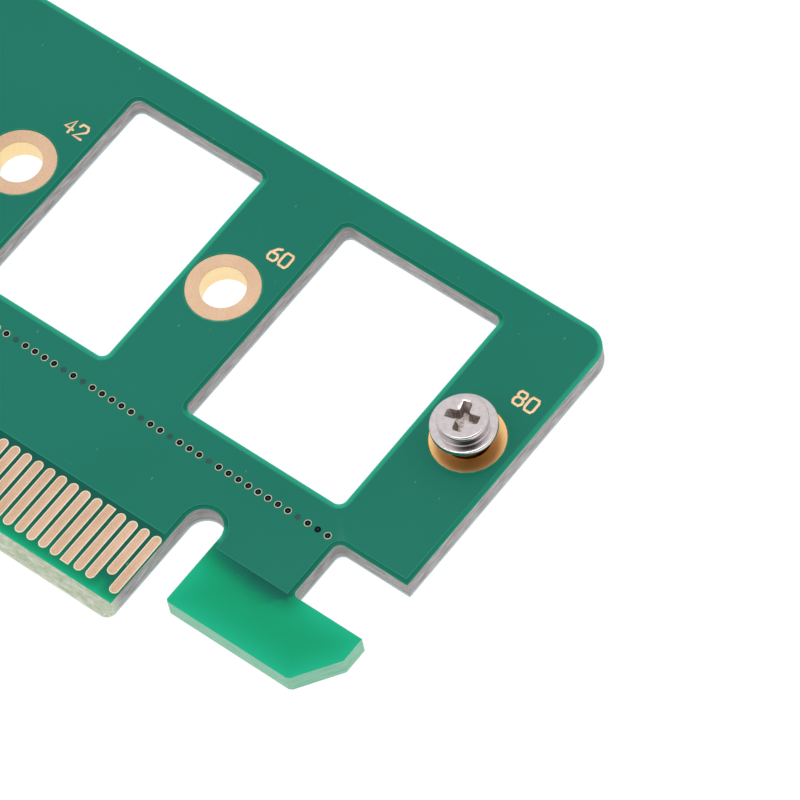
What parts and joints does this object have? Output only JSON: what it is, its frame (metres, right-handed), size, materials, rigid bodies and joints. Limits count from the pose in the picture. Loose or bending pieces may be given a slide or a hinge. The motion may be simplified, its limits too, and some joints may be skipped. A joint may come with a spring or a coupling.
{
  "type": "nvme adapter card",
  "caption": "Bare adapter card that holds a storage module on its face and plugs into a long card-edge slot by its bevelled contact tongue and hook tab.",
  "frame": {"origin": "middle of the card's bounding box, at the lowest point of the standoff bush's head, which is what the card lies on", "axes": "+X along the card towards the hook tab, +Y across the card away from the edge contacts, +Z out of the front face, which carries the module socket"},
  "size_m": [0.1036, 0.0348, 0.0056],
  "materials": {
    "laminate": "glass-epoxy laminate, milled edges",
    "solder_mask": "green solder mask over copper",
    "gold_plate": "gold-plated copper",
    "brass": "turned brass",
    "nickel": "nickel-plated steel",
    "socket_plastic": "moulded black plastic",
    "strip_metal": "gold-flashed spring strip",
    "tinned_metal": "tin plate",
    "capacitor_ceramic": "fired ceramic",
    "resistor_film": "black film and glass",
    "lamp_base": "white laminate",
    "lamp_lens": "clear moulded resin"
  },
  "bodies": {
    "root": {"board_laminate": "laminate", "front_mask": "solder_mask", "back_mask": "solder_mask", "front_contacts": "gold_plate", "back_contacts": "gold_plate", "plated_hole_42": "gold_plate", "plated_hole_60": "gold_plate", "plated_hole_80": "gold_plate", "stitching_vias": "gold_plate", "standoff_bush": "brass", "module_screw": "nickel", "socket_housing": "socket_plastic", "socket_upper_contacts": "strip_metal", "socket_lower_contacts": "strip_metal", "socket_hold_downs": "tinned_metal", "bulk_capacitor_bodies": "capacitor_ceramic", "bulk_capacitor_ends": "tinned_metal", "bypass_capacitor_bodies": "capacitor_ceramic", "bypass_capacitor_ends": "tinned_metal", "resistor_bodies": "resistor_film", "resistor_ends": "tinned_metal", "lamp_base": "lamp_base", "lamp_ends": "tinned_metal", "lamp_lens": "lamp_lens"}
  },
  "joints": []
}
